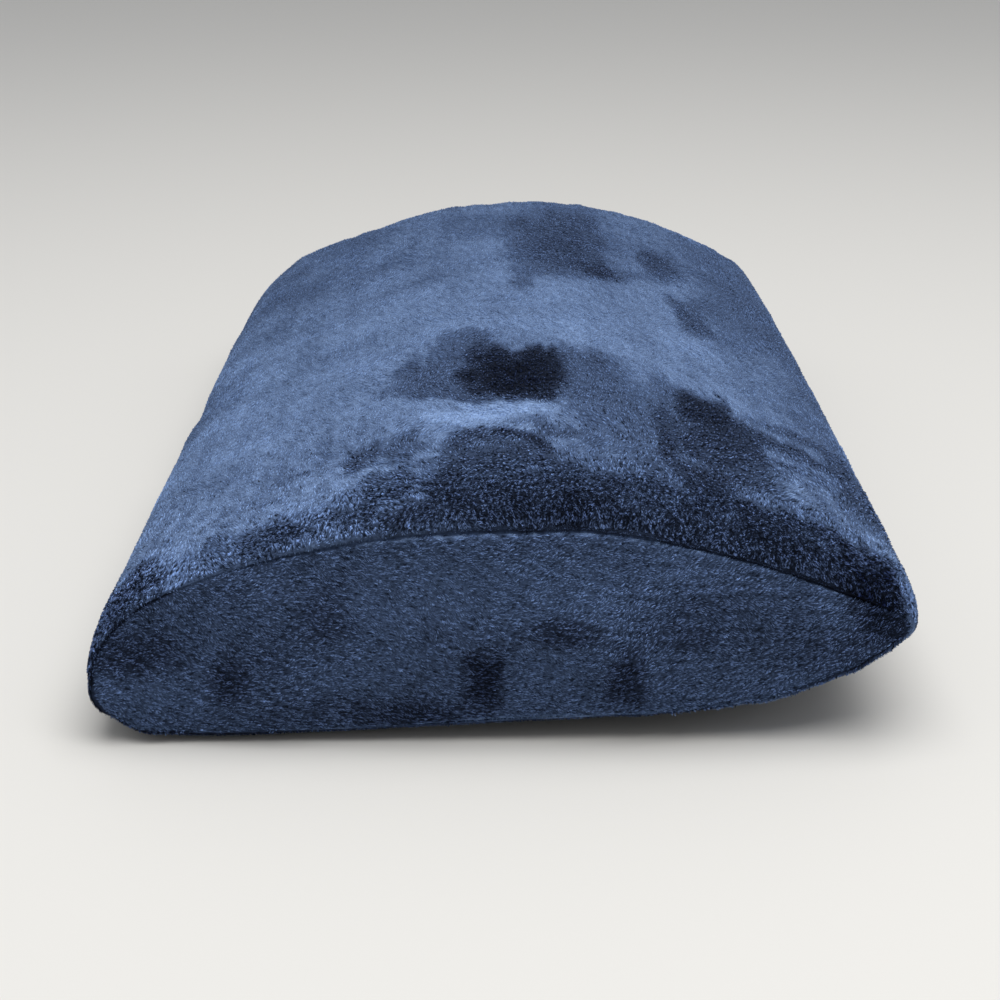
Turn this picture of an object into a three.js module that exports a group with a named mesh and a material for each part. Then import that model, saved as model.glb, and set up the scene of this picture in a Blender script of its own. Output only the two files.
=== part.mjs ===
// A half-round lumbar pillow in a plush cover, lying on its base with its long axis along Y.
// It is one filled solid: a wrap panel round the foam, and an end panel sewn in at each end.
// Millimetres, +Z up, origin under the middle of the pillow, on the surface that it lies on.
import * as THREE from 'three';
import { mergeVertices } from 'three/addons/utils/BufferGeometryUtils.js';

// Driving dimensions
const LENGTH = 402; // along Y, over the bulge of both end panels
const WIDTH = 232; // along X, before the sides draw in
const HEIGHT = 76.5; // from the base to the crown

// End panels and the seam round them
const PANEL_BULGE = 4;
const PANEL_DOME = 2.5; // power of the dome, flat in the middle and rounder towards the seam
const SEAM_DEPTH = 1.6; // how far the seam is sewn in below the cover

// The cover swells from the seam's outline to the body's over this length
const END_ROUND = 30;

// The base sags between its ends until it lies flat on the surface
const BASE_SAG = 9;
const SAG_RUN = 75; // length over which the sag is reached, from each end seam

// The long sides draw in between the corners, and the far end is a little narrower
const DRAW_IN = 0.8;
const FAR_TUCK = 4;
const FAR_POWER = 4; // it comes on only towards the far end

// Outlines of an end seam and of the full body, seen from the near end, from the right tip over the
// crown to the left side and back along the base. Shares of half the width and of the height.
const OUTLINE = [
  { at: 'right tip', seam: { across: 0.96, up: 0.484 }, body: { across: 0.998, up: 0.505 } },
  { at: 'right shoulder', seam: { across: 0.835, up: 0.568 }, body: { across: 0.893, up: 0.691 } },
  { at: 'right slope', seam: { across: 0.573, up: 0.709 }, body: { across: 0.61, up: 0.874 } },
  { at: 'right of crown', seam: { across: 0.28, up: 0.809 }, body: { across: 0.3, up: 0.985 } },
  { at: 'crown', seam: { across: 0.068, up: 0.824 }, body: { across: 0.07, up: 1 } },
  { at: 'left of crown', seam: { across: -0.233, up: 0.801 }, body: { across: -0.243, up: 0.942 } },
  { at: 'left slope', seam: { across: -0.567, up: 0.702 }, body: { across: -0.582, up: 0.782 } },
  { at: 'left shoulder', seam: { across: -0.843, up: 0.536 }, body: { across: -0.862, up: 0.583 } },
  { at: 'left side', seam: { across: -0.965, up: 0.325 }, body: { across: -0.986, up: 0.35 } },
  { at: 'left foot', seam: { across: -0.948, up: 0.147 }, body: { across: -0.958, up: 0.118 } },
  { at: 'left edge of base', seam: { across: -0.82, up: 0.047 }, body: { across: -0.84, up: 0 } },
  { at: 'left half of base', seam: { across: -0.412, up: 0.049 }, body: { across: -0.41, up: 0 } },
  { at: 'middle of base', seam: { across: 0.01, up: 0.086 }, body: { across: 0.01, up: 0.02 } },
  { at: 'right half of base', seam: { across: 0.5, up: 0.132 }, body: { across: 0.505, up: 0.085 } },
  { at: 'rise to the right', seam: { across: 0.785, up: 0.237 }, body: { across: 0.8, up: 0.215 } },
  { at: 'under the right tip', seam: { across: 0.925, up: 0.385 }, body: { across: 0.95, up: 0.37 } },
];

// Facets
const ROUND_STEPS = 92; // points round a section
const BODY_STEPS = 13; // sections along the body between the rounded ends
const PANEL_RINGS = [0.22, 0.5, 0.75, 0.9, 0.965]; // shares of the way from a panel's middle to its seam
const ROUND_ANGLES = [12, 24, 40, 56, 73, 90]; // degrees round the end, from the seam to the body

const HALF_WIDTH = WIDTH / 2;
const SEAM_Y = LENGTH / 2 - PANEL_BULGE;
const SEAM_RUN = 2 * SEAM_Y; // from one end seam to the other

function closedCurve(column) {
  const knots = OUTLINE.map((row) => {
    const { across, up } = row[column];
    return new THREE.Vector3(across * HALF_WIDTH, 0, up * HEIGHT);
  });
  return new THREE.CatmullRomCurve3(knots, true, 'catmullrom', 0.5);
}

// Points round the section, even along the seam, each with its place on the body's outline
// and how far the cover faces up there, from -1 on the base to 1 on the crown.
function outlinePoints() {
  const seamCurve = closedCurve('seam');
  const bodyCurve = closedCurve('body');
  return Array.from({ length: ROUND_STEPS }, (_, i) => {
    const t = seamCurve.getUtoTmapping(i / ROUND_STEPS);
    const facing = -bodyCurve.getTangent(t).x;
    return { seam: seamCurve.getPoint(t), body: bodyCurve.getPoint(t), facing };
  });
}

// One section of the wrap panel, at a distance from the near seam, a share of the way from the
// seam's outline to the body's.
function wrapSection(outline, fromNear, share) {
  const fromEnd = Math.min(fromNear, SEAM_RUN - fromNear);
  const sag = BASE_SAG * THREE.MathUtils.smoothstep(fromEnd, 0, SAG_RUN);
  const place = fromNear / SEAM_RUN;
  const narrow = 1 - (DRAW_IN * Math.sin(Math.PI * place) + FAR_TUCK * place ** FAR_POWER) / HALF_WIDTH;
  return outline.map(({ seam, body, facing }) => {
    const p = seam.clone().lerp(body, share);
    const z = p.z + sag * Math.min(0, facing);
    return new THREE.Vector3(p.x * narrow, fromNear - SEAM_Y, Math.max(0, z));
  });
}

// The seam at one end, sewn in a little below the cover on both sides of it. end is -1 near, 1 far.
function seamSection(outline, end) {
  const section = wrapSection(outline, end < 0 ? 0 : SEAM_RUN, 0);
  section.forEach((p) => p.setY(p.y - end * SEAM_DEPTH));
  return section;
}

// The middle of an end panel and its rings out to the seam, on a shallow dome.
function endPanel(seamRing, end) {
  const box = new THREE.Box3().setFromPoints(seamRing);
  const middle = box.getCenter(new THREE.Vector3()).setY(end * (SEAM_Y + PANEL_BULGE));
  const rings = PANEL_RINGS.map((share) => {
    const dome = PANEL_BULGE * (1 - share ** PANEL_DOME);
    return seamRing.map((p) => middle.clone().lerp(p, share).setY(end * (SEAM_Y + dome)));
  });
  return { middle, rings };
}

// All sections of the wrap panel between the seams: rounded end, body, rounded end.
function wrapSections(outline) {
  const rounding = ROUND_ANGLES.map((degrees) => {
    const angle = THREE.MathUtils.degToRad(degrees);
    return { fromSeam: END_ROUND * (1 - Math.cos(angle)), share: Math.sin(angle) };
  });
  const bodyStep = (SEAM_RUN - 2 * END_ROUND) / (BODY_STEPS + 1);
  const body = Array.from({ length: BODY_STEPS }, (_, i) => END_ROUND + bodyStep * (i + 1));
  return [
    ...rounding.map((r) => wrapSection(outline, r.fromSeam, r.share)),
    ...body.map((fromNear) => wrapSection(outline, fromNear, 1)),
    ...rounding.toReversed().map((r) => wrapSection(outline, SEAM_RUN - r.fromSeam, r.share)),
  ];
}

// A closed skin over all the rings, with a fan of triangles to the middle of each end panel.
function pillowGeometry() {
  const outline = outlinePoints();
  const nearSeam = seamSection(outline, -1);
  const farSeam = seamSection(outline, 1);
  const near = endPanel(nearSeam, -1);
  const far = endPanel(farSeam, 1);
  const rings = [...near.rings, nearSeam, ...wrapSections(outline), farSeam, ...far.rings.toReversed()];
  const corners = [];
  for (let i = 0; i < ROUND_STEPS; i++) {
    const j = (i + 1) % ROUND_STEPS;
    corners.push(near.middle, rings[0][i], rings[0][j]);
    for (let k = 0; k + 1 < rings.length; k++) {
      const [a, b] = [rings[k], rings[k + 1]];
      corners.push(a[i], b[i], b[j], a[i], b[j], a[j]);
    }
    corners.push(far.middle, rings.at(-1)[j], rings.at(-1)[i]);
  }
  const geometry = mergeVertices(new THREE.BufferGeometry().setFromPoints(corners));
  geometry.computeBoundingBox();
  const middle = geometry.boundingBox.getCenter(new THREE.Vector3());
  geometry.translate(-middle.x, -middle.y, 0);
  geometry.computeVertexNormals();
  return geometry;
}

const plush = new THREE.MeshStandardMaterial({
  name: 'plush',
  color: 0x2c3c60,
  roughness: 0.95,
  metalness: 0,
});

const pillow = new THREE.Mesh(pillowGeometry(), plush);
pillow.name = 'pillow';

const part = new THREE.Group();
part.name = 'lumbar_pillow';
part.add(pillow);

export default part;
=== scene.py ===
import math
import bpy
import numpy as np
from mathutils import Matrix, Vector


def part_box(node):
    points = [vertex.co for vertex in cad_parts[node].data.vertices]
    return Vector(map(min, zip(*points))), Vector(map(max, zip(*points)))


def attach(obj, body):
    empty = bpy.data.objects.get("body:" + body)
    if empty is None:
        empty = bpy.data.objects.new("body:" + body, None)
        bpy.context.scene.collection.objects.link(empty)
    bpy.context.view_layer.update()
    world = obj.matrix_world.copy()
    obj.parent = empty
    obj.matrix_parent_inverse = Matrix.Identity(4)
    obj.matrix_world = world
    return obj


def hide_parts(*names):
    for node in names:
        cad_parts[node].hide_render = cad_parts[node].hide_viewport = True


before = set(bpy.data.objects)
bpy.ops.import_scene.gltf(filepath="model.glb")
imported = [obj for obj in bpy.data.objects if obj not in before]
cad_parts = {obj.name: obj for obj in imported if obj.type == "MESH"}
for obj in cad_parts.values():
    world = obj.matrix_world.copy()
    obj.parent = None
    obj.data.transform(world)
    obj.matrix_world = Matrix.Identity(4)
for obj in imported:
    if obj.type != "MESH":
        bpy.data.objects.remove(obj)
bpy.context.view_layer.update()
boxLow, boxHigh = (np.array(corner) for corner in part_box("pillow"))
mm = 0.001
print("frame loaded, CAD box in mm:", np.round((boxHigh - boxLow) / mm, 1))

# The pillow's form, in millimetres; its overall sizes come from the CAD part's box
pillowForm = {
    "length": (boxHigh[1] - boxLow[1]) / mm,
    "halfWidth": (boxHigh[0] - boxLow[0]) / mm / 2,
    "height": (boxHigh[2] - boxLow[2]) / mm,
    "panelBulge": 4.0,      # end panels stand out this far past their seams
    "panelDome": 2.5,       # power of that dome
    "endRound": 30.0,       # the cover swells from seam to body over this length
    "baseSag": 9.0,         # the base drops this far between its ends, onto the surface
    "sagRun": 75.0,
    "drawIn": 0.8,          # long sides pull in this far between the corners
    "farTuck": 4.0,         # the far end is narrower
    "farPower": 4,
    "roundPoints": 280,     # points round a section
    "panelRows": 20,        # rows from a panel's middle to its seam
    "roundRows": 24,        # rows over a rounded end
    "bodyRows": 100,
    "panelStart": 0.02,     # share of the way to the seam where a panel's rows start
    "panelCrowd": 1.7,      # power by which they crowd towards the seam
    "curveSteps": 4001,     # steps that measure the outline
    "slopeStep": 0.01,      # share of a knot's span, for the outline's slope
    "pileSink": 1.6,        # the cloth lies this far inside the CAD's surface, which the pile reaches
}
# Rows of the cover where its stretches end, counted from the near panel's middle
nearSeam, nearRound, farRound, farSeam, farMiddle = 1, 2, 3, 4, 5

# Outline of the end seam and of the body, from the right tip over the crown and back along the base:
# shares of half the width and of the height, seam across, seam up, body across, body up
outlineKnots = np.array([
    (0.96, 0.484, 0.998, 0.505),      # right tip
    (0.835, 0.568, 0.893, 0.691),     # right shoulder
    (0.573, 0.709, 0.61, 0.874),      # right slope
    (0.28, 0.809, 0.3, 0.985),        # right of crown
    (0.068, 0.824, 0.07, 1.0),        # crown
    (-0.233, 0.801, -0.243, 0.942),   # left of crown
    (-0.567, 0.702, -0.582, 0.782),   # left slope
    (-0.843, 0.536, -0.862, 0.583),   # left shoulder
    (-0.965, 0.325, -0.986, 0.35),    # left side
    (-0.948, 0.147, -0.958, 0.118),   # left foot
    (-0.82, 0.047, -0.84, 0.0),       # left edge of base
    (-0.412, 0.049, -0.41, 0.0),      # left half of base
    (0.01, 0.086, 0.01, 0.02),        # middle of base
    (0.5, 0.132, 0.505, 0.085),       # right half of base
    (0.785, 0.237, 0.8, 0.215),       # rise to the right
    (0.925, 0.385, 0.95, 0.37),       # under the right tip
])


def smoothStep(x):
    # 0 below 0, 1 above 1, three x squared less two x cubed between
    x = np.clip(x, 0, 1)
    return x * x * (3 - 2 * x)


def fade(x, start, end):
    # a smooth step from 0 at start to 1 at end, which may lie below it
    return smoothStep((x - start) / (end - start))


def closedSpline(knots, t):
    # cubic through a closed row of knots; each knot's slope is half the step between its neighbours
    cell = np.floor(t).astype(int)
    f = (t - cell)[:, None]
    a, b, c, d = (knots[(cell + k) % len(knots)] for k in (-1, 0, 1, 2))
    return b + 0.5 * f * (c - a + f * (2 * a - 5 * b + 4 * c - d + f * (3 * (b - c) + d - a)))


def evenPlaces(count):
    # places along the knots that are evenly spaced along the seam
    t = np.linspace(0, len(outlineKnots), pillowForm["curveSteps"])
    seam = closedSpline(outlineKnots[:, :2], t) * (pillowForm["halfWidth"], pillowForm["height"])
    run = np.r_[0, np.cumsum(np.linalg.norm(np.diff(seam, axis=0), axis=1))]
    return np.interp(np.arange(count) * run[-1] / count, run, t)


def pillowPoints(t, w):
    # The cover as a grid: t goes round the section, and w from the near panel's middle (0) to its seam,
    # round the near end, along the body, round the far end to the far seam, and to the far middle.
    # A wrap section is the seam's outline moved to the body's by the sine of the angle round an end.
    # A panel ring is the seam shrunk to the panel's middle, on a dome of one less the share to a power.
    p = pillowForm
    seamY = p["length"] / 2 - p["panelBulge"]
    run = 2 * seamY
    outline = closedSpline(outlineKnots, t) * (p["halfWidth"], p["height"], p["halfWidth"], p["height"])
    ahead = closedSpline(outlineKnots[:, 2:], (t + p["slopeStep"]) % len(outlineKnots))
    behind = closedSpline(outlineKnots[:, 2:], (t - p["slopeStep"]) % len(outlineKnots))
    step = (ahead - behind) * (p["halfWidth"], p["height"])
    facing = -step[:, 0] / np.linalg.norm(step, axis=1)
    angle = np.clip(np.minimum(w - nearSeam, farSeam - w), 0, 1) * math.pi / 2
    fromSeam = p["endRound"] * (1 - np.cos(angle))
    along = np.clip(w - nearRound, 0, 1) * (run - 2 * p["endRound"]) + p["endRound"]
    fromNear = np.where(w < nearRound, fromSeam, np.where(w > farRound, run - fromSeam, along))
    share = np.sin(angle)[:, None, None]
    section = outline[None, :, :2] * (1 - share) + outline[None, :, 2:] * share
    sag = p["baseSag"] * smoothStep(np.minimum(fromNear, run - fromNear) / p["sagRun"])
    place = fromNear / run
    far = place ** p["farPower"]
    narrow = 1 - (p["drawIn"] * np.sin(math.pi * place) + p["farTuck"] * far) / p["halfWidth"]
    x = section[..., 0] * narrow[:, None]
    z = section[..., 1] + sag[:, None] * np.minimum(0, facing)
    y = np.broadcast_to((fromNear - seamY)[:, None], x.shape)
    points = np.stack([x, y, np.maximum(z, 0)], -1)
    ring = np.clip(np.minimum(w, farMiddle - w), 0, 1)[:, None]
    middleX = (x.max(1) + x.min(1))[:, None] / 2
    middleZ = (z.max(1) + z.min(1))[:, None] / 2
    side = np.where(w < farMiddle / 2, -1, 1)[:, None]
    dome = p["panelBulge"] * (1 - ring ** p["panelDome"])
    panel = np.stack([middleX + (x - middleX) * ring, side * (seamY + dome) + 0 * x,
                      middleZ + (points[..., 2] - middleZ) * ring], -1)
    return np.where(((w < nearSeam) | (w > farSeam))[:, None, None], panel, points)


def meridian(panelRows, roundRows, bodyRows):
    # rows of w, evenly spaced in each stretch of the wrap and closer towards the seam on the panels
    p = pillowForm
    panel = 1 - (1 - p["panelStart"]) * np.linspace(1, 0, panelRows) ** p["panelCrowd"]
    wrap = [np.linspace(start, start + 1, rows + 1)[1:]
            for start, rows in ((nearSeam, roundRows), (nearRound, bodyRows), (farRound, roundRows))]
    return np.concatenate([panel, *wrap, farMiddle - panel[::-1][1:]])


def gridNormals(points):
    # normals of the closed grid, from the cross product of the steps round and along it
    around = np.roll(points, -1, 1) - np.roll(points, 1, 1)
    along = np.gradient(points, axis=0)
    normal = np.cross(along, around)
    return normal / np.maximum(np.linalg.norm(normal, axis=-1, keepdims=True), 1e-12)


t = evenPlaces(pillowForm["roundPoints"])
w = meridian(pillowForm["panelRows"], pillowForm["roundRows"], pillowForm["bodyRows"])
cover = pillowPoints(t, w)
low, high = cover.reshape(-1, 3).min(0), cover.reshape(-1, 3).max(0)
cover = boxLow / mm + (cover - low) * (boxHigh - boxLow) / mm / (high - low)     # fills the CAD box
print("cover grid", cover.shape)


# The cloth's own relief: the sewn cover is simulated over the foam, which holds it softly
coverCloth = {
    "roundPoints": 96, "panelRows": 7, "roundRows": 7, "bodyRows": 50,
    "pressure": 4.0,
    "spare": 0.008,      # cloth cut this share larger than the foam
    "bending": 20.0,
    "foamHold": 0.2,     # how firmly the foam holds the cover
    "restsUpTo": 0.4,    # mm above the surface, up to which the base is held there
    "quality": 6,
    "frames": 20,
    "reach": 2.0,        # mm, the most that a point may move
}


def closedMesh(name, points):
    # a closed skin over a grid that is periodic round each row, with a fan at each end row
    rows, columns = points.shape[:2]
    ends = np.stack([points[0].mean(0), points[-1].mean(0)])
    index = np.arange(rows * columns).reshape(rows, columns)
    beside = np.roll(index, -1, 1)
    quads = np.stack([index[:-1], index[1:], beside[1:], beside[:-1]], -1).reshape(-1, 4)
    nearTip, farTip = np.full(columns, rows * columns), np.full(columns, rows * columns + 1)
    fans = np.concatenate([np.stack([nearTip, index[0], beside[0]], -1),
                           np.stack([farTip, beside[-1], index[-1]], -1)])
    skin = np.concatenate([points.reshape(-1, 3), ends])
    mesh = bpy.data.meshes.new(name)
    mesh.from_pydata(skin.tolist(), [], quads.tolist() + fans.tolist())
    mesh.update()
    piece = bpy.data.objects.new(name, mesh)
    bpy.context.scene.collection.objects.link(piece)
    return piece


def simulatedRelief():
    # how far the cloth stands out from the foam along the normal, in mm, at points of a coarse cover
    c = coverCloth
    t = evenPlaces(c["roundPoints"])
    w = meridian(c["panelRows"], c["roundRows"], c["bodyRows"])
    grid = pillowPoints(t, w)
    piece = closedMesh("coverTrial", grid * mm)
    index = np.arange(grid.shape[0] * grid.shape[1]).reshape(grid.shape[:2])
    held = (grid[..., 2] < c["restsUpTo"]) | (np.isclose(w, nearSeam) | np.isclose(w, farSeam))[:, None]
    group = piece.vertex_groups.new(name="foam")
    group.add(index.ravel().tolist(), c["foamHold"], "REPLACE")
    group.add(index[held].tolist(), 1.0, "REPLACE")
    cloth = piece.modifiers.new("cover", "CLOTH")
    cloth.collision_settings.use_collision = False
    settings = cloth.settings
    settings.quality = c["quality"]
    settings.bending_stiffness = c["bending"]
    settings.use_pressure = True
    settings.uniform_pressure_force = c["pressure"]
    settings.shrink_min = -c["spare"]
    settings.vertex_group_mass = "foam"
    settings.effector_weights.gravity = 0
    for step in range(1, c["frames"] + 1):
        bpy.context.scene.frame_set(step)
    shaped = piece.evaluated_get(bpy.context.evaluated_depsgraph_get()).to_mesh()
    moved = np.zeros(len(shaped.vertices) * 3)
    shaped.vertices.foreach_get("co", moved)
    moved = moved.reshape(-1, 3)[:index.size].reshape(grid.shape) / mm
    bpy.data.objects.remove(piece)
    relief = ((moved - grid) * gridNormals(grid)).sum(-1)
    relief = c["reach"] * np.tanh(relief / c["reach"])
    for axis in (0, 1, 0, 1):    # one soft pass takes off the grid's own ripple
        edge = np.take(relief, [0, -1], 0)
        relief = (np.roll(relief, 1, axis) + 2 * relief + np.roll(relief, -1, axis)) / 4
        relief[[0, -1]] = edge
    return w, np.where(held, 0, relief)


def resampled(grid, rowAt, columnAt):
    # cubic reading of a grid between its rows and, periodically, between its columns
    def weights(f):
        return (-0.5 * f + f ** 2 - 0.5 * f ** 3, 1 - 2.5 * f ** 2 + 1.5 * f ** 3,
                0.5 * f + 2 * f ** 2 - 1.5 * f ** 3, -0.5 * f ** 2 + 0.5 * f ** 3)
    row, column = np.floor(rowAt).astype(int), np.floor(columnAt).astype(int)
    byRow = sum(k[:, None] * grid[np.clip(row + n - 1, 0, len(grid) - 1)]
                for n, k in enumerate(weights(rowAt - row)))
    return sum(k * byRow[:, (column + n - 1) % grid.shape[1]]
               for n, k in enumerate(weights(columnAt - column)))


# Soft random fields: how many waves make one, how far their lengths spread, and a seed for each
noiseForm = {
    "waves": 28, "spread": (0.7, 1.4),
    "seeds": {"pucker": 11, "lump": 12, "knot": 13, "stray": 21, "strayFine": 22, "mottle": 23,
              "mottleStrokes": 24, "strokes": 25, "clump": 26, "streak": 27, "strokesFine": 28,
              "panelStray": 29, "swirl": 31, "wave": 32, "speck": 33, "ruffle": 35, "seamEdge": 36},
}


def softNoise(points, waveLength, field, waves=noiseForm["waves"]):
    # smooth random field of unit spread: a sum of cosines of about one wave length in seeded directions
    draw = np.random.default_rng(noiseForm["seeds"][field])
    way = draw.normal(size=(waves, 3))
    way /= np.linalg.norm(way, axis=1, keepdims=True)
    way *= (2 * math.pi / waveLength * draw.uniform(*noiseForm["spread"], waves))[:, None]
    phase = draw.uniform(0, 2 * math.pi, waves)
    return np.cos(points @ way.T + phase).sum(-1) * math.sqrt(2 / waves)


coarseRows, relief = simulatedRelief()
rowAt = np.interp(w, coarseRows, np.arange(len(coarseRows)))
columnAt = np.arange(len(t)) * coverCloth["roundPoints"] / len(t)
relief = resampled(relief, rowAt, columnAt)
print("cloth relief in mm from", relief.min().round(2), "to", relief.max().round(2))

# Seams and soft unevenness, worked into the cover after the simulation, in millimetres; a pair is the
# range over which something comes on
seamWork = {
    "depth": 1.2,                   # the seam line lies this far below the cloth beside it
    "halfWidth": 0.65,
    "hidden": 0.8,                  # share by which the nap hides it, near the left end
    "hiddenAt": -80.0, "hiddenHalf": 15.0,
    "pucker": 0.3,                  # puckers beside the seam, and how far they reach
    "puckerWave": 10.0, "puckerReach": 8.0,
    "lump": 0.3, "lumpWave": 34.0,
    "knot": 0.12, "knotWave": 12.0,
    "cornerFirm": 0.95,             # share by which the near left corner keeps its place
    "cornerAcross": (-96, -104), "cornerAlong": (-165, -180),
    "cornerAbove": (6.5, 10.5), "cornerBelow": (20, 13),
    "footFirm": 0.7,                # and the foot below it
    "footAt": -98.0, "footHalf": 5.0, "footBelow": (8, 5),
    "flankFacing": (0.45, 0.75),    # the long sides, by how far the cover faces sideways
    "flankCalm": 0.7,               # share by which they are evener
    "sideFirm": 0.9,                # the right side's upper half stands out this much further
    "sideAbove": (22, 32),
    "evenUpTo": (3, 15),            # heights up to which the base and its edges are even
    "restsUpTo": (0.2, 3.2),        # and up to which they stay where the surface holds them
}


def seamDistance(points, w):
    # distance of each point from the nearer seam row, along its column
    step = np.linalg.norm(np.diff(points, axis=0), axis=-1)
    run = np.concatenate([np.zeros((1, points.shape[1])), np.cumsum(step, axis=0)])
    near, far = (run[np.argmin(np.abs(w - seam))] for seam in (nearSeam, farSeam))
    return np.minimum(np.abs(run - near), np.abs(run - far))


def dressedCover(points, away):
    # the cover moved along its normals by the cloth's relief, the seam's trough, puckers and soft lumps
    s = seamWork
    x, y, z = (points[..., k] for k in range(3))
    shown = 1 - s["hidden"] * np.exp(-((x - s["hiddenAt"]) / s["hiddenHalf"]) ** 2)
    trough = s["depth"] * shown * np.exp(-(away / s["halfWidth"]) ** 2) + pillowForm["pileSink"]
    corner = fade(x, *s["cornerAcross"]) * fade(z, *s["cornerAbove"]) * fade(z, *s["cornerBelow"])
    foot = np.exp(-((x - s["footAt"]) / s["footHalf"]) ** 2) * fade(z, *s["footBelow"])
    firm = s["cornerFirm"] * corner + s["footFirm"] * foot
    trough = trough * (1 - firm * fade(y, *s["cornerAlong"]))
    pucker = s["pucker"] * np.exp(-away / s["puckerReach"])
    pucker = pucker * softNoise(points, s["puckerWave"], "pucker")
    lumps = sum(s[kind] * softNoise(points, s[kind + "Wave"], kind) for kind in ("lump", "knot"))
    normal = gridNormals(points)
    flank = fade(np.abs(normal[..., 0]), *s["flankFacing"])
    trough = trough - s["sideFirm"] * flank * (x > 0) * fade(z, *s["sideAbove"])
    move = (relief + (pucker + lumps) * (1 - s["flankCalm"] * flank)) * fade(z, *s["evenUpTo"])
    move = move - trough * fade(z, *s["restsUpTo"])
    moved = points + normal * move[..., None]
    moved[..., 2] = np.maximum(moved[..., 2], 0)
    return moved


fromSeam = seamDistance(cover, w)
cover = dressedCover(cover, fromSeam)
pillow = closedMesh("pillowCover", cover * mm)
pillow.data.polygons.foreach_set("use_smooth", np.ones(len(pillow.data.polygons), bool))
print("cover mesh,", len(pillow.data.polygons), "faces")
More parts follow.
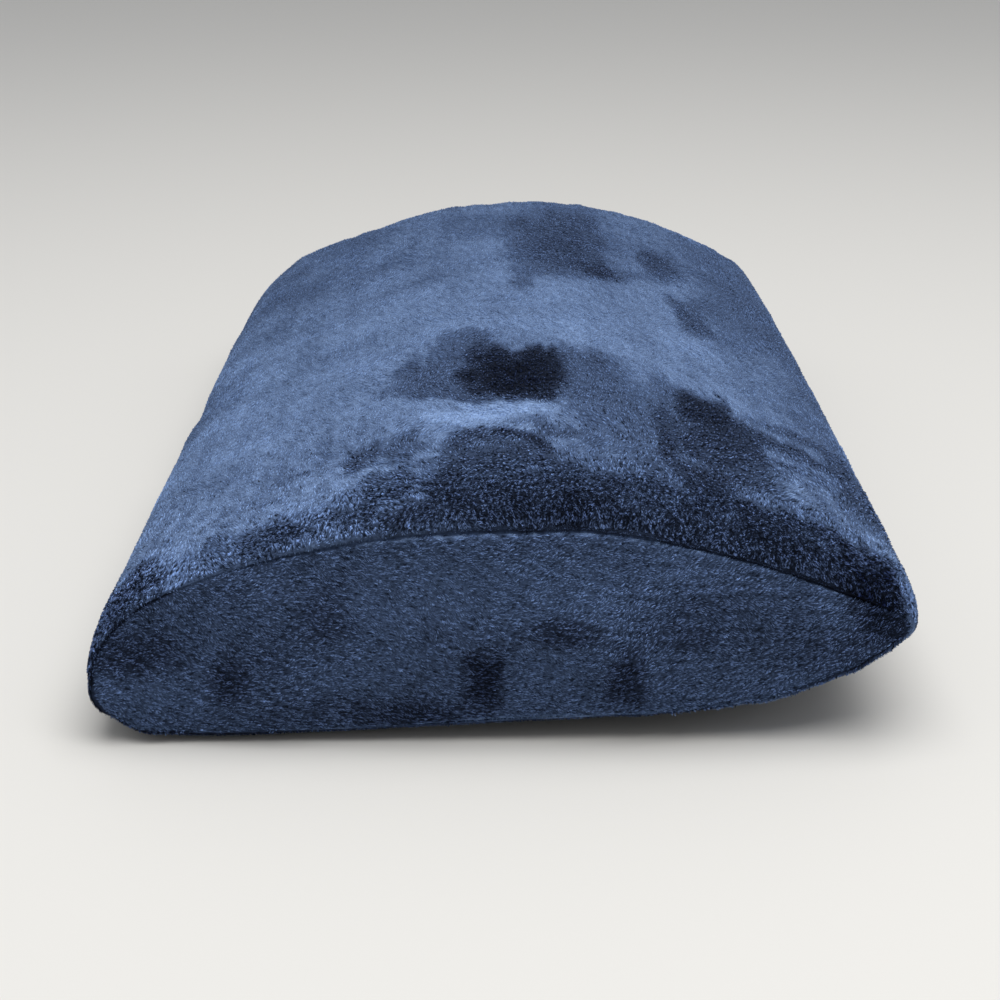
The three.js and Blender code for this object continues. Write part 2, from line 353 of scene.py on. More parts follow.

# Marks that hands and packing left in the nap, painted one over the other as painted sheen, in
# millimetres.
# Wrap: middle across and along, half sizes, turn in degrees, level of the nap, strength, soft edge
wrapMarks = np.array([
    (100, 40, 24, 130, 0, 0.6, 0.9, 0.9),        # right side
    (92, -24, 11, 38, 0, 0.74, 0.8, 0.9),
    (-92, 120, 14, 32, 0, 0.6, 0.6, 0.9),        # faint strokes on the left
    (-68, -5, 5, 40, 5, 0.72, 0.5, 0.9),
    (-101, 4, 10, 46, 0, 0.68, 0.75, 0.9),
    (-50, -126, 30, 10, 20, 0.72, 0.4, 0.9),
    (-77, -140, 22, 28, 0, 0.73, 0.7, 0.9),
    (-54, -131, 4, 7, 0, 0.62, 0.6, 0.9),
    (-37, -42, 6, 8, 0, 0.7, 0.7, 0.9),
    (-58, -150, 6, 4, 0, 0.62, 0.8, 0.9),
    (-46, -139, 6, 4, 0, 0.66, 0.7, 0.9),
    (34, -134, 14, 48, 0, 0.54, 0.8, 0.8),       # strokes on the right
    (67, -140, 14, 37, 0, 0.31, 0.9, 0.5),
    (75, -152, 4, 11, 0, 0.46, 0.8, 0.9),
    (70, -161, 5, 5, 0, 0.5, 0.7, 0.9),
    (48, -148, 3.5, 19, 0, 0.24, 0.9, 0.6),
    (57, -176, 9, 12, 0, 0.27, 0.85, 0.7),
    (92, -117, 10, 6, -20, 0.34, 0.85, 0.7),
    (86, -135, 6, 4, 0, 0.42, 0.7, 0.8),
    (98, -148, 13, 22, 0, 0.68, 0.9, 0.5),
    (85, -175, 18, 6, 0, 0.6, 0.85, 0.8),
    (66, -186, 11, 5, 0, 0.26, 0.9, 0.8),
    (88, -184, 9, 4, 0, 0.28, 0.9, 0.8),
    (49.5, -121, 3.5, 16, 0, 0.38, 0.85, 0.9),
    (93, -100, 14, 6, 0, 0.46, 0.8, 0.9),
    (89, -122, 9, 5, 0, 0.46, 0.8, 0.9),
    (62, -102, 8.5, 18, 4, 0.13, 0.95, 0.6),
    (52, -101, 4, 12, 0, 0.5, 0.8, 0.9),
    (80, -114, 4.5, 9, 0, 0.32, 0.85, 0.8),
    (0, -186, 26, 8, 0, 0.26, 0.9, 0.7),         # hand mark behind the near seam
    (2, -167, 24, 12, -52, 0.41, 0.95, 0.5),
    (-8, -176, 11, 11, 0, 0.39, 0.9, 0.6),
    (-31, -179, 7, 10, 0, 0.48, 0.9, 0.7),
    (-41, -183, 7, 4, 0, 0.56, 0.8, 0.9),
    (-20, -172, 4.5, 4.5, -30, 0.66, 0.85, 0.7),
    (38, -175, 13, 10, 0, 0.52, 0.85, 0.9),
    (41, -188, 14, 7, 0, 0.37, 0.9, 0.9),
    (31, -177, 6, 5, 0, 0.6, 0.8, 0.9),
    (68, -194.5, 22, 5, 0, 0.31, 0.8, 0.9),
    (-3, -157, 6, 6, 0, 0.54, 0.75, 0.8),
    (-59, -193, 12, 5, 0, 0.32, 0.85, 0.8),
    (-22, -195, 18, 5, 0, 0.38, 0.8, 0.9),
    (-38, -192, 5.5, 3.5, 0, 0.48, 0.8, 0.9),
    (-28, -189, 6, 3, 0, 0.62, 0.8, 0.7),
    (-40, -152, 4, 11, -12, 0.46, 0.85, 0.7),
    (-29, -155, 6, 11, 0, 0.52, 0.75, 0.8),
    (8, -157, 14, 2.8, -52, 0.2, 0.9, 0.7),      # its rim, dark and then light
    (-7, -145, 3, 7, 0, 0.3, 0.85, 0.7),
    (-13, -160, 2.5, 9, 0, 0.48, 0.8, 0.8),
    (21, -149, 12, 3, -48, 0.64, 0.7, 0.9),
    (29, -170, 7, 9, -30, 0.7, 0.9, 0.9),
    (17, -152, 5, 5, 0, 0.46, 0.85, 0.9),
    (-23, -82, 9, 21, 0, 0.47, 0.85, 0.9),       # pressed patch on the crown, and round it
    (-15, -56, 9, 20, 0, 0.54, 0.8, 0.9),
    (-24, -97, 15, 5.5, -42, 0.5, 0.8, 0.8),
    (27, -84, 11, 20, 0, 0.5, 0.85, 0.9),
    (27, -109, 9, 8, 0, 0.46, 0.7, 0.9),
    (-7, -50, 2.5, 12, 0, 0.5, 0.8, 0.8),
    (3.5, -93, 14.5, 21, 0, 0.03, 1.0, 0.6),
    (-8, -87, 5, 8, 0, 0.13, 0.9, 1.1),
    (-4, -70, 7, 14, 0, 0.08, 0.9, 1.1),
    (14.5, -80, 5, 12, 0, 0.08, 0.9, 1.1),
    (15, -97, 5, 13, 0, 0.05, 0.9, 0.7),
    (6, -70, 8, 9, 0, 0.13, 0.8, 1.1),
    (11, -113, 8, 7, 0, 0.12, 0.9, 0.7),
    (24, -112, 4, 14, 0, 0.58, 0.8, 0.9),
    (-13, -107, 10, 5, -48, 0.52, 0.9, 0.8),
    (-5, -126, 17, 9, -8, 0.96, 0.95, 0.7),     # brushed bright
    (-22, -115, 12, 5, -42, 0.8, 0.9, 0.8),
    (11, -116, 6, 4, 0, 0.22, 0.85, 0.8),
    (9, -141, 5, 4, 0, 0.64, 0.8, 0.9),
    (24, 100, 20, 56, 0, 0.47, 0.95, 0.5),       # far patch
    (38, 55, 9, 12, 0, 0.38, 0.95, 0.6),
    (12, 48, 9, 10, 0, 0.58, 0.8, 0.8),
    (48, 100, 6, 32, 0, 0.69, 0.9, 0.6),
    (49, 62, 6, 8, 0, 0.58, 0.7, 0.9),
    (63, 91, 8, 29, -3, 0.43, 0.9, 0.6),
    (8, 33, 4, 13, 0, 0.62, 0.9, 0.7),
    (70, 15, 6, 22, 0, 0.44, 0.9, 0.7),
    (76, 36, 6, 12, -25, 0.58, 0.8, 0.8),
    (-80, -192, 30, 10, 0, 0.62, 0.9, 0.8),      # near left corner
    (-63, -190, 9, 6, 0, 0.4, 0.8, 0.9),
    (-105, -184, 9, 14, 0, 0.28, 0.9, 0.8),
    (-115, -185, 5, 30, 0, 0.28, 0.9, 0.7),
    (102, -191, 9, 10.5, 0, 0.06, 0.95, 0.8),      # near right corner, dark, with a light rim of painted sheen along its edge
    (116, -180, 6, 24, 0, 0.7, 0.95, 0.6),
    (109, -128, 12, 28, 0, 0.43, 0.85, 0.9),
])
# End panels: middle across and up, and the same
panelMarks = np.array([
    (0, 46, 30, 9, 0, 0.59, 0.8, 0.9),
    (62, 36, 24, 9, -8, 0.37, 0.75, 0.9),
    (-75, 28, 20, 10, 0, 0.45, 0.7, 0.9),
    (52, 21, 20, 7, 8, 0.5, 0.6, 0.9),
    (-45, 10, 32, 6, 0, 0.38, 0.7, 0.9),
    (-4.4, 19.5, 5, 9.5, 0, 0.09, 0.92, 0.8),
    (34, 21, 5, 9, 0, 0.15, 0.85, 0.8),
    (17, 35, 8, 4, 0, 0.16, 0.8, 0.9),
    (51, 33, 4, 4, 0, 0.25, 0.6, 0.9),
    (-74, 20, 5, 6, 0, 0.14, 0.8, 0.9),
    (-25, 9, 14, 4, 0, 0.18, 0.8, 0.9),
    (-48, 40, 6, 8, 0, 0.3, 0.6, 0.9),
    (-100, 29, 11, 9, 0, 0.14, 0.7, 0.9),
    (105, 38, 9, 9, 0, 0.08, 0.9, 0.9),
    (90, 26, 14, 7, 0, 0.36, 0.8, 0.9),
    (-18, 34, 4, 4, 0, 0.42, 0.6, 0.9),
    (-95, 7, 10, 4, 0, 0.42, 0.7, 0.9),
    (-75, 46, 34, 7, 17, 0.47, 0.85, 0.9),       # upper left, where the wrap's nap runs over the seam
])
# Levels of the nap, 0 dark to 1 bright: its painted sheen, with painted shade and highlights where the
# cover faces away from or towards the light; places in millimetres; a pair is the range over which
# something comes on, across, along or up the pillow, or by how far the cover faces up; a Wave is the
# length of a noise's waves, and a Long the share by which it is drawn out along the pillow
napSettings = {
    "wrap": 0.79, "farWrap": 0.7, "farAlong": (-30, 140),       # where nothing brushed it, near and far
    "panel": 0.52,
    "frontRoll": 0.13,                   # painted shade where the cover rolls over to the near seam, facing the front
    "rollReach": 14.0, "rollLeast": 4.0, "rollStray": 1.2, "rollRows": 2.5,
    "rollAcross": (-70, -20), "rollAbove": (8, 20),
    "flank": 0.6, "flankFacing": (0.45, -0.15),                 # painted shade low on the long sides, which face away from the light above
    "rearAlong": (-150, -110),           # behind the front
    "under": 0.3, "underFacing": (0.15, -0.25), "underBelow": (30, 18),    # painted shade where the cover turns under
    "underRear": 0.5,                    # share by which that is weaker behind the front
    "foot": 0.06, "footFacing": (-0.1, -0.4), "footBelow": (26, 16),         # and darker painted shade beside the near seam, near the floor
    "lip": 0.68, "lipFacing": (0.25, -0.05), "lipBelow": (42, 34),           # painted highlight below its right end, along the seam's lip
    "lipAcross": (48, 72), "lipRows": 1.6,
    "wrapEdge": 0.15,                    # how much lighter the wrap is again beside the near seam
    "wrapEdgeAway": (7, 2), "wrapEdgeFrom": (-66, -46), "wrapEdgeTo": (50, 20),
    "seamEdge": 0.26,                    # the panel's cut edge catches light along that seam
    "seamEdgeAway": (1.92, 0.72), "seamEdgeAcross": (-60, -30),
    "seamEdgeEven": 0.75, "seamEdgeBroken": 0.45, "seamEdgeWave": 3.5,
    "tipEdge": 1.2, "tipEdgeAcross": (40, 70), "tipEdgeBelow": 32,     # and more under the right tip
    "seamDark": 0.75,                    # share by which the near seam is darker, down the left side: painted shade of its crease
    "seamDarkAway": (1.35, 0.45), "seamDarkAcross": (-84, -92),
    "strayAcross": 1.4,                  # how far the marks' edges wander across the pillow
    "strayWave": 14.0, "strayLong": 0.4, "strayFine": 0.7, "strayFineWave": 3.2,
    "strayAlong": 7.0,                   # and along it, where they end in strokes
    "strokeLong": 0.16, "strokes": 0.7, "strokesWave": 12.0, "strokesFine": 0.3, "strokesFineWave": 4.0,
    "panelStrayWave": 7.0,
    "softer": 1.3,                       # the marks' edges are this much softer than listed
    "smallAcross": 8.0, "smallAlong": 20.0,      # half sizes below which they wander less
    "endShare": 0.4,                     # share of half a mark, before its middle, where strokes start
    "squarish": 2.5,                     # power of its oval
    "streak": 0.012, "streakWave": 5.5, "streakLong": 0.12, "streakAlong": (20, -120),
    "ruffle": 0.03, "ruffleWave": 7.0, "ruffleAlong": (-110, -150),          # unevenness near the front
    "mottle": 0.02, "mottleWave": 45.0, "mottleStrokes": 0.6,
    "clump": 0.03, "clumpWave": 3.0, "panelClump": 0.4,
}


def painted(level, across, along, marks, strayAcross, strayAlong):
    # each mark in turn pulls the level towards its own, inside a squarish oval with a soft edge; the
    # strays push its sides and its far end about, and those of small marks less far
    n = napSettings
    power = n["squarish"]
    for x, y, halfX, halfY, turn, target, strength, soft in marks:
        soft = soft * n["softer"]
        c, s = math.cos(math.radians(turn)), math.sin(math.radians(turn))
        right = across + strayAcross * min(1, halfX / n["smallAcross"]) - x
        up = along - y
        pastStart = np.clip(up / halfY + n["endShare"], 0, 1)
        up = up + strayAlong * min(1, halfY / n["smallAlong"]) * pastStart
        u = (right * c + up * s) / halfX
        v = (up * c - right * s) / halfY
        inside = 1 + soft / 2 - (np.abs(u) ** power + np.abs(v) ** power) ** (1 / power)
        level = level + (target - level) * strength * smoothStep(inside / soft)
    return level


def wrapLevel(points, upward, away, row, strayAcross, strayAlong):
    # the wrap's own level, with painted shade on the roll to the near seam, then its marks, and then
    # painted shade on its sides, the turn under and the foot and a painted highlight on the lip, each
    # pulling the level towards its own by its share
    n = napSettings
    x, y, z = points.T
    # painted shade on the roll that faces the front
    roll = (row < n["rollRows"]) * fade(x, *n["rollAcross"]) * fade(z, *n["rollAbove"])
    reach = np.maximum(n["rollReach"] + n["rollStray"] * strayAcross, n["rollLeast"])
    roll = roll * smoothStep(1.5 - away / reach)     # full up to half the reach, then fading
    plain = n["wrap"] + (n["farWrap"] - n["wrap"]) * fade(y, *n["farAlong"])
    wrap = painted(plain + (n["frontRoll"] - plain) * roll, x, y, wrapMarks, strayAcross, strayAlong)
    rear = fade(y, *n["rearAlong"])
    flank = fade(upward, *n["flankFacing"]) * rear
    under = fade(upward, *n["underFacing"]) * fade(z, *n["underBelow"]) * (1 - n["underRear"] * rear)
    foot = (row < nearRound) * fade(z, *n["footBelow"]) * fade(upward, *n["footFacing"])
    lip = (row < n["lipRows"]) * fade(x, *n["lipAcross"]) * fade(z, *n["lipBelow"])
    lip = lip * fade(upward, *n["lipFacing"])
    # painted shade on the sides, the turn under and the foot, and a painted highlight on the lip
    for share, name in ((flank, "flank"), (under, "under"), (foot, "foot"), (lip, "lip")):
        wrap = wrap + (n[name] - wrap) * share
    streaks = softNoise(points * (1, n["streakLong"], 1), n["streakWave"], "streak")
    wrap = wrap + n["streak"] * (1 - roll) * fade(y, *n["streakAlong"]) * streaks
    ruffle = softNoise(points, n["ruffleWave"], "ruffle")
    wrap = wrap + n["ruffle"] * fade(y, *n["ruffleAlong"]) * ruffle
    edge = (row < nearRound) * fade(away, *n["wrapEdgeAway"])
    return wrap + n["wrapEdge"] * edge * fade(x, *n["wrapEdgeFrom"]) * fade(x, *n["wrapEdgeTo"])


def panelLevel(points, away, strayAcross):
    # the near panel's own level, then its marks, and light along its cut edge, broken up by noise
    n = napSettings
    x, _, z = points.T
    strayUp = n["strayAcross"] * softNoise(points, n["panelStrayWave"], "panelStray")
    panel = painted(np.full(len(x), n["panel"]), x, z, panelMarks, strayAcross, strayUp)
    tip = fade(x, *n["tipEdgeAcross"]) * (z < n["tipEdgeBelow"])
    broken = n["seamEdgeBroken"] * softNoise(points, n["seamEdgeWave"], "seamEdge")
    edge = fade(x, *n["seamEdgeAcross"]) + n["tipEdge"] * tip
    edge = edge * np.maximum(n["seamEdgeEven"] + broken, 0)
    return panel + n["seamEdge"] * fade(away, *n["seamEdgeAway"]) * edge


def napLevel(points, upward, away, row):
    # level of the nap, its painted sheen, at points of the cover, from their place, how far they face
    # up, their distance
    # from a seam and their row: the panels' or the wrap's, with soft noise and a dark line of painted
    # shade at the seam
    n = napSettings
    onNear = row < nearSeam
    strokes = points * (1, n["strokeLong"], 1)
    strayAcross = n["strayAcross"] * (
        softNoise(points * (1, n["strayLong"], 1), n["strayWave"], "stray")
        + n["strayFine"] * softNoise(points, n["strayFineWave"], "strayFine"))
    strayAlong = n["strayAlong"] * sum(
        n[kind] * softNoise(strokes, n[kind + "Wave"], kind) for kind in ("strokes", "strokesFine"))
    wrap = wrapLevel(points, upward, away, row, strayAcross, strayAlong)
    panel = panelLevel(points, away, strayAcross)
    level = np.where(onNear, panel, np.where(row > farSeam, n["panel"], wrap))
    mottle = softNoise(points, n["mottleWave"], "mottle")
    mottle = mottle + n["mottleStrokes"] * softNoise(strokes, n["strokesWave"], "mottleStrokes")
    level = level + n["mottle"] * mottle
    clump = n["clump"] * np.where(onNear, n["panelClump"], 1)
    level = level + clump * softNoise(points, n["clumpWave"], "clump")
    # a dark line of painted shade along the near seam's crease, down the left side
    line = (row < nearRound) * fade(points[:, 0], *n["seamDarkAcross"]) * fade(away, *n["seamDarkAway"])
    return np.clip(level * (1 - n["seamDark"] * line), 0, 1)


# The short pile: small closed tufts that lie over with the nap
pileForm = {
    "seed": 5,
    "nearDensity": 5.4, "density": 0.85,     # tufts a square millimetre, at the near end and elsewhere
    "nearReach": 10.0, "nearFade": 22.0,     # mm from the near end, and over which the one fades
    "coarser": 0.3,                          # tufts elsewhere are larger by this share
    "under": 0.4, "underFacing": -0.5,       # share of the tufts where the cover faces down
    "below": 0.65, "belowFacing": 0.1,       # and of their size
    "sizes": (0.75, 1.25),                   # share of the listed size, from tuft to tuft
    "swirl": 24.0, "swirlWave": 38.0,        # degrees and mm, how far and how widely the lie wanders
    "wave": 14.0, "waveLength": 6.0,         # and how it waves over short lengths
    "panelCalm": 0.55,                       # share of the swirl on the end panels
    "scatter": 6.0,                          # degrees, how far single tufts stray
    "brightLevel": (0.3, 0.7),               # the nap's level, from dark tufts to bright ones
    "seamGap": 0.4,                          # mm on each side of a seam without tufts
    "farTrim": 0.5, "farTrimReach": 3.0,     # share by which they are shorter beside the far seam
    "rootDepth": 0.15,                       # mm, how far a tuft starts below the cloth
    "clear": 0.05,                           # mm, the least height over the surface that it rests on
    "bare": 1.5,                             # mm over it, up to which the base is pressed flat
    "crimpTurn": 24.0,                       # degrees, the pile's rise to the right on a panel
    "crimpAcross": (-20, 70),
    "crimpLong": 2.8, "crimpWide": 0.7,      # mm, crimps on that panel with tufts of one shade
    "speck": (1.05, 2.2, 2.2),               # and specks on the wrap
    "panelShade": 1.4, "wrapShade": 2.0,     # how much lighter and darker those are
    "speckWaves": 60,
    "tuftShade": 0.35,                       # and single tufts
    "evener": 0.55,                          # share by which shades are evener away from the near end
    "evenerAlong": (-190, -80),
    "pieceTufts": 49000,
}
# Tufts on the end panels, on the wrap where the nap is dark, and where it is bright:
# length, width at the root and at the tip in mm, and the lean from upright in degrees
tuftKinds = {
    "panel": (0.95, 0.26, 0.22, 75),
    "dark": (0.85, 0.36, 0.32, 60),
    "bright": (1.1, 0.36, 0.3, 82),
}


def nearShare(points):
    # 1 at the near end, falling smoothly to 0 along the pillow
    reach = pileForm["nearReach"]
    return fade(points[..., 1] - cover[..., 1].min(), reach + pileForm["nearFade"], reach)


def tuftRoots():
    # points spread over the cover's cells, as many in each as its area asks for, at seeded places in it
    p = pileForm
    draw = np.random.default_rng(p["seed"])
    right = np.roll(cover, -1, 1)
    corners = [cover[:-1], right[:-1], right[1:], cover[1:]]
    area = np.linalg.norm(np.cross(corners[2] - corners[0], corners[3] - corners[1]), axis=-1) / 2
    middle = sum(corners) / 4
    wanted = area * (p["density"] + (p["nearDensity"] - p["density"]) * nearShare(middle))
    facing = gridNormals(cover)[:-1, :, 2]
    under = (facing < p["underFacing"]) & (w[:-1] >= nearSeam)[:, None]
    wanted = wanted * np.where(under, p["under"], 1)
    awayFrom = (fromSeam[:-1] + fromSeam[1:]) / 2
    wanted = wanted * (middle[..., 2] > p["bare"]) * (awayFrom > p["seamGap"])
    count = np.floor(wanted + draw.random(wanted.shape)).astype(int).ravel()
    cell = np.repeat(np.arange(count.size), count)
    place = np.arange(len(cell)) - np.repeat(np.cumsum(count) - count, count)
    u = (place + draw.random(len(cell))) / count[cell]
    v = draw.random(len(cell))
    a, b = (1 - u) * (1 - v), u * (1 - v)
    c, d = u * v, (1 - u) * v

    def at(grid):
        beside = np.roll(grid, -1, 1)
        flat = [g.reshape(count.size, -1)[cell] for g in (grid[:-1], beside[:-1], beside[1:], grid[1:])]
        return sum(k[:, None] * g for k, g in zip((a, b, c, d), flat))
    away, row = at(fromSeam[..., None])[:, 0], at(gridRows[..., None])[:, 0]
    return at(cover), at(gridNormals(cover)), away, row, draw


def unit(vectors):
    # each vector over its own length
    return vectors / np.maximum(np.linalg.norm(vectors, axis=-1, keepdims=True), 1e-9)


def crimpAngle(root):
    # how far the pile's lie rises on an end panel, in radians: level on the left, up towards the right
    return np.radians(pileForm["crimpTurn"]) * fade(root[:, 0], *pileForm["crimpAcross"])


def tuftCorners(root, normal, level, row, away, draw):
    # Each tuft is a slim wedge of four corners: two at the root and two, turned a quarter, at the tip.
    # It leans from the normal along the lie of the nap: crosswise on the end panels and lengthwise on
    # the wrap, away from the near end where the nap is bright and towards it where the nap is dark.
    p = pileForm
    onPanel = ((row < nearSeam) | (row > farSeam))[:, None]
    bright = fade(level, *p["brightLevel"])[:, None]
    kinds = {name: np.array(sizes, float) for name, sizes in tuftKinds.items()}
    form = np.where(onPanel, kinds["panel"], kinds["dark"] * (1 - bright) + kinds["bright"] * bright)
    long, rootWide, tipWide, lay = np.split(form, 4, axis=1)
    swirl = p["swirl"] * softNoise(root, p["swirlWave"], "swirl")
    swirl = swirl * np.where(onPanel[:, 0], p["panelCalm"], 1)
    swirl = swirl + p["wave"] * softNoise(root, p["waveLength"], "wave")
    swirl = swirl + p["scatter"] * draw.normal(size=len(root))
    swirl = np.radians(swirl)[:, None]
    rise = crimpAngle(root)[:, None]
    along = np.where(onPanel, np.concatenate([np.cos(rise), 0 * rise, np.sin(rise)], 1), (0.0, 1, 0))
    along = unit(along - normal * (along * normal).sum(-1, keepdims=True))
    across = np.cross(normal, along)
    way = np.where(onPanel | (bright > 0.5), 1, -1)
    lay = np.radians(lay + p["scatter"] / 2 * draw.normal(size=lay.shape))
    lie = along * np.cos(swirl) * way + across * np.sin(swirl)
    axis = normal * np.cos(lay) + lie * np.sin(lay)
    size = draw.uniform(*p["sizes"], lay.shape) * (1 + p["coarser"] * (1 - nearShare(root)))[:, None]
    size = size * np.where(~onPanel & (normal[:, 2:] < p["belowFacing"]), p["below"], 1)
    trim = p["farTrim"] * (row > farRound) * np.exp(-(away / p["farTrimReach"]) ** 2)
    size = size * (1 - trim)[:, None]
    side = unit(np.cross(axis, normal))
    other = np.cross(axis, side)
    turn = draw.uniform(0, math.pi, lay.shape)
    rootEdge = (side * np.cos(turn) + other * np.sin(turn)) * rootWide / 2 * size
    tipEdge = (other * np.cos(turn) - side * np.sin(turn)) * tipWide / 2 * size
    tip = root + axis * long * size
    foot = root - normal * p["rootDepth"]
    corners = np.stack([foot + rootEdge, foot - rootEdge, tip + tipEdge, tip - tipEdge], 1)
    corners[..., 2] = np.maximum(corners[..., 2], p["clear"])
    return corners


def panelCrimp(root):
    # places on the near panel in crimps of the pile: along them and across
    turn = crimpAngle(root)
    along = root[:, 0] * np.cos(turn) + root[:, 2] * np.sin(turn)
    across = root[:, 2] * np.cos(turn) - root[:, 0] * np.sin(turn)
    return np.stack([along / pileForm["crimpLong"], 0 * along, across / pileForm["crimpWide"]], -1)


def pilePiece(name, corners, level, shade):
    # one mesh of closed tufts, each with the nap's level, the share from root to tip and its own shade;
    # in the map OFBake each has one cell of a square grid, and its corners lie a little inside that
    tufts = len(corners)
    first = 4 * np.arange(tufts)[:, None, None]
    faces = (first + np.array([(0, 2, 3), (1, 3, 2), (0, 1, 2), (1, 0, 3)])).reshape(-1, 3)
    mesh = bpy.data.meshes.new(name)
    mesh.from_pydata((corners.reshape(-1, 3) * mm).tolist(), [], faces.tolist())
    mesh.update()
    mesh.polygons.foreach_set("use_smooth", np.ones(len(faces), bool))
    for label, values in (("nap", np.repeat(level, 4)), ("tip", np.tile((0.0, 0, 1, 1), tufts)),
                          ("shade", np.repeat(shade, 4))):
        data = mesh.attributes.new(label, "FLOAT", "POINT").data
        data.foreach_set("value", values.astype(np.float32))
    side = math.ceil(math.sqrt(tufts))
    cell = np.stack([np.arange(tufts) % side, np.arange(tufts) // side], -1)[:, None]
    near, far = 0.1, 0.9     # shares of a cell
    spread = (cell + np.array([(near, near), (far, near), (far, far), (near, far)])) / side
    corner = np.zeros(len(mesh.loops), np.int32)
    mesh.loops.foreach_get("vertex_index", corner)
    places = spread.reshape(-1, 2)[corner].astype(np.float32)
    mesh.uv_layers.new(name="OFBake").uv.foreach_set("vector", places.ravel())
    piece = bpy.data.objects.new(name, mesh)
    bpy.context.scene.collection.objects.link(piece)
    return piece


def pointValues(piece, name, grid):
    # a value at each grid point, with the end rows' mean at the two tips
    values = np.r_[grid.ravel(), grid[0].mean(), grid[-1].mean()].astype(np.float32)
    piece.data.attributes.new(name, "FLOAT", "POINT").data.foreach_set("value", values)


gridRows = np.broadcast_to(w[:, None], fromSeam.shape)
facingUp = gridNormals(cover)[..., 2]
nap = napLevel(cover.reshape(-1, 3), facingUp.ravel(), fromSeam.ravel(), gridRows.ravel())
nap = nap.reshape(fromSeam.shape)
pointValues(pillow, "nap", nap)
print("nap on the cover from", nap.min().round(2), "to", nap.max().round(2))

root, normal, away, row, draw = tuftRoots()
normal = unit(normal)
level = napLevel(root, normal[:, 2], away, row)
corners = tuftCorners(root, normal, level, row, away, draw)
onNear = row < nearSeam
speckPlace = np.where(onNear[:, None], panelCrimp(root), root / pileForm["speck"])
shade = pileForm["tuftShade"] * draw.normal(size=len(root))
shade = shade + (np.where(onNear, pileForm["panelShade"], pileForm["wrapShade"])
                 * softNoise(speckPlace, 1, "speck", pileForm["speckWaves"]))
shade = shade * (1 - pileForm["evener"] * fade(root[:, 1], *pileForm["evenerAlong"]))
order = np.argsort(root[:, 1], kind="stable")
pieces = np.array_split(order, math.ceil(len(order) / pileForm["pieceTufts"]))
pile = [pilePiece("pile" + str(k + 1), corners[part], level[part], shade[part])
        for k, part in enumerate(pieces)]
print(len(root), "tufts in", len(pile), "pieces")


def linear(hexColour):
    # sRGB hex to linear RGB, with full alpha
    s = np.array([int(hexColour[k:k + 2], 16) for k in (1, 3, 5)]) / 255
    return (*np.where(s <= 0.04045, s / 12.92, ((s + 0.055) / 1.055) ** 2.4), 1.0)


def addNode(tree, kind, settings=(), **inputs):
    # a node with its settings, and with each input, named or numbered (i0, i1), given a value or a link
    node = tree.nodes.new(kind)
    for name, value in dict(settings).items():
        setattr(node, name, value)
    for name, value in inputs.items():
        numbered = name[0] == "i" and name[1:].isdigit()
        socket = node.inputs[int(name[1:]) if numbered else name]
        if isinstance(value, bpy.types.NodeSocket):
            tree.links.new(value, socket)
        else:
            socket.default_value = value
    return node


def newMaterial(name):
    # a material with one shader on its surface
    material = bpy.data.materials.new(name)
    material.use_nodes = True
    tree = material.node_tree
    tree.nodes.clear()
    shader = tree.nodes.new("ShaderNodeBsdfPrincipled")
    output = tree.nodes.new("ShaderNodeOutputMaterial")
    tree.links.new(shader.outputs["BSDF"], output.inputs["Surface"])
    return material, tree, shader


# Navy polyester plush: painted shade darkens each tuft towards its root and the cloth between the
# tufts, so the tips look lit and the gaps dark, and the nap's painted sheen is bright or dark by the
# way it was brushed
plushLook = {
    "levels": ("#090f24", "#3c4a67", "#586d92", "#97b4e2"),    # by the nap's level, evenly spaced: its painted sheen, dark to bright
    "rootDark": 0.05, "rootBright": 0.7,       # share of that at a tuft's root, in dark and bright nap: painted shade between the tufts
    "tipDark": 2.1, "tipBright": 1.1,          # and at its tip, lighter
    "clothDark": 0.15, "clothBright": 0.75,    # and on the cloth under the pile, in painted shade
    "strayDark": 0.8, "strayBright": 0.0,      # how far shades from tuft to tuft show
    "leastShade": 0.1,
    "grain": 0.9, "grainDepth": 0.4,           # mm, the cloth's grain
    "grainBump": 0.6, "grainDetail": 2.0,
    "roughness": 0.85, "specular": 0.05,
    "sheen": 0.06, "sheenRoughness": 0.5, "sheenColour": "#8fb0ea",
}


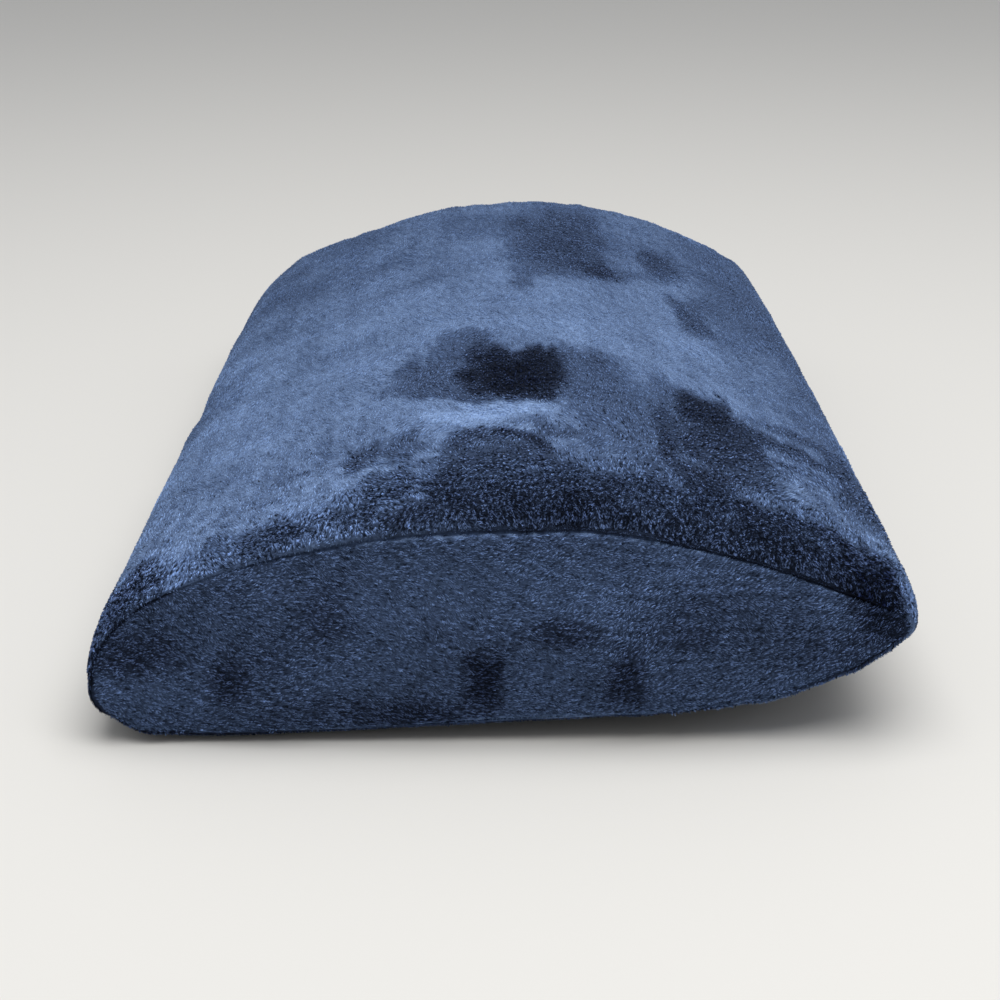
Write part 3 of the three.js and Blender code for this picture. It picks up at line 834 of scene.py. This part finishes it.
def plushMaterial(name, onPile):
    # the colour of the nap's level, times a share of painted shade that runs from a dark root to a
    # light tip with each tuft's own shade on the pile, and that varies with the grain on the cloth,
    # with its tone and darker in the valleys of its bump
    k = plushLook
    material, tree, shader = newMaterial(name)

    def attribute(label):
        return addNode(tree, "ShaderNodeAttribute", {"attribute_name": label}).outputs["Fac"]

    def maths(operation, *values):
        inputs = {"i" + str(n): value for n, value in enumerate(values)}
        return addNode(tree, "ShaderNodeMath", {"operation": operation}, **inputs).outputs[0]

    def mapped(value, start, end):
        return addNode(tree, "ShaderNodeMapRange", i0=value, i3=start, i4=end).outputs[0]

    def byNap(at):
        return mapped(nap, k[at + "Dark"], k[at + "Bright"])

    nap = attribute("nap")
    colours = addNode(tree, "ShaderNodeValToRGB", Fac=nap)
    stops = colours.color_ramp.elements
    for n in range(1, len(k["levels"]) - 1):
        stops.new(n / (len(k["levels"]) - 1))
    for stop, colour in zip(stops, k["levels"]):
        stop.color = linear(colour)
    if onPile:
        own = maths("MULTIPLY_ADD", attribute("shade"), byNap("stray"), 1.0)
        own = maths("MAXIMUM", own, k["leastShade"])
        # painted shade: each tuft is dark at its root and light at its tip
        share = maths("MULTIPLY", own, mapped(attribute("tip"), byNap("root"), byNap("tip")))
    else:
        place = addNode(tree, "ShaderNodeTexCoord").outputs["Object"]
        scale = 1 / (k["grain"] * mm)
        noise = addNode(tree, "ShaderNodeTexNoise", Vector=place, Scale=scale, Detail=k["grainDetail"])
        grain = noise.outputs["Fac"]
        even = maths("MULTIPLY", grain, 2.0)     # about 1 on average
        # painted shade on the cloth under the pile, with the grain's tone, darker in the valleys of its
        # bump
        share = maths("MULTIPLY", even, byNap("cloth"))
        bump = addNode(tree, "ShaderNodeBump", Strength=k["grainBump"], Distance=k["grainDepth"] * mm,
                       Height=grain)
        tree.links.new(bump.outputs[0], shader.inputs["Normal"])
    scaled = addNode(tree, "ShaderNodeVectorMath", {"operation": "SCALE"},
                     i0=colours.outputs[0], Scale=share)
    tree.links.new(scaled.outputs[0], shader.inputs["Base Color"])
    for socket, value in (("Roughness", k["roughness"]), ("Specular IOR Level", k["specular"]),
                          ("Sheen Weight", k["sheen"]), ("Sheen Roughness", k["sheenRoughness"]),
                          ("Sheen Tint", linear(k["sheenColour"]))):
        shader.inputs[socket].default_value = value
    return material


pillow.data.materials.append(plushMaterial("navyPlushGround", False))
pileMaterial = plushMaterial("navyPlushPile", True)
for piece in pile:
    piece.data.materials.append(pileMaterial)
for piece in [pillow] + pile:
    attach(piece, "root")
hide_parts("pillow")
print("plush on the pillow")

# Pale studio floor, soft light and the camera at the photograph's place, in metres and degrees
studio = {
    "floorHalf": 12.0,
    "floorColour": "#d9d7d2", "floorRoughness": 0.6,     # pale board, which takes a soft shadow
    "eye": (-0.0002, -0.6816, 0.2499), "pitch": 20.12, "lens": 70.49, "nearClip": 0.01,
    "skyColour": "#f4f6fa", "skyStrength": 0.5,
    "keyPlace": (0.13, -0.36, 1.3), "keySize": 1.3, "keyPower": 19.0,
}


def studioFloor():
    # a flat square as a grid of two by two points
    u, v = np.meshgrid((-1, 1), (-1, 1))
    points = np.stack([u, v, 0 * u], -1).reshape(-1, 3) * studio["floorHalf"]
    mesh = bpy.data.meshes.new("studioFloor")
    mesh.from_pydata(points.tolist(), [], [(0, 1, 3, 2)])
    floor = bpy.data.objects.new("studioFloor", mesh)
    bpy.context.scene.collection.objects.link(floor)
    material, _, shader = newMaterial("paleBoard")
    shader.inputs["Base Color"].default_value = linear(studio["floorColour"])
    shader.inputs["Roughness"].default_value = studio["floorRoughness"]
    mesh.materials.append(material)


def studioLight():
    # an even sky and one square soft light, turned to the origin
    world = bpy.data.worlds.new("studio")
    bpy.context.scene.world = world
    world.use_nodes = True
    sky = world.node_tree.nodes["Background"]
    sky.inputs["Color"].default_value = linear(studio["skyColour"])
    sky.inputs["Strength"].default_value = studio["skyStrength"]
    key = bpy.data.lights.new("softBox", "AREA")
    key.shape = "SQUARE"
    key.size = studio["keySize"]
    key.energy = studio["keyPower"]
    lamp = bpy.data.objects.new("softBox", key)
    bpy.context.scene.collection.objects.link(lamp)
    lamp.location = studio["keyPlace"]
    x, y, z = studio["keyPlace"]
    lamp.rotation_euler = (math.atan2(math.hypot(x, y), z), 0, math.atan2(-y, -x) - math.pi / 2)


def studioCamera():
    # a camera that looks along the pillow, pitched down
    lens = bpy.data.cameras.new("camera")
    lens.lens = studio["lens"]
    lens.clip_start = studio["nearClip"]
    camera = bpy.data.objects.new("camera", lens)
    bpy.context.scene.collection.objects.link(camera)
    camera.location = studio["eye"]
    camera.rotation_euler = (math.radians(90 - studio["pitch"]), 0, 0)
    bpy.context.scene.camera = camera


studioFloor()
studioLight()
studioCamera()
bpy.context.scene.view_settings.view_transform = "Standard"
print("studio ready")
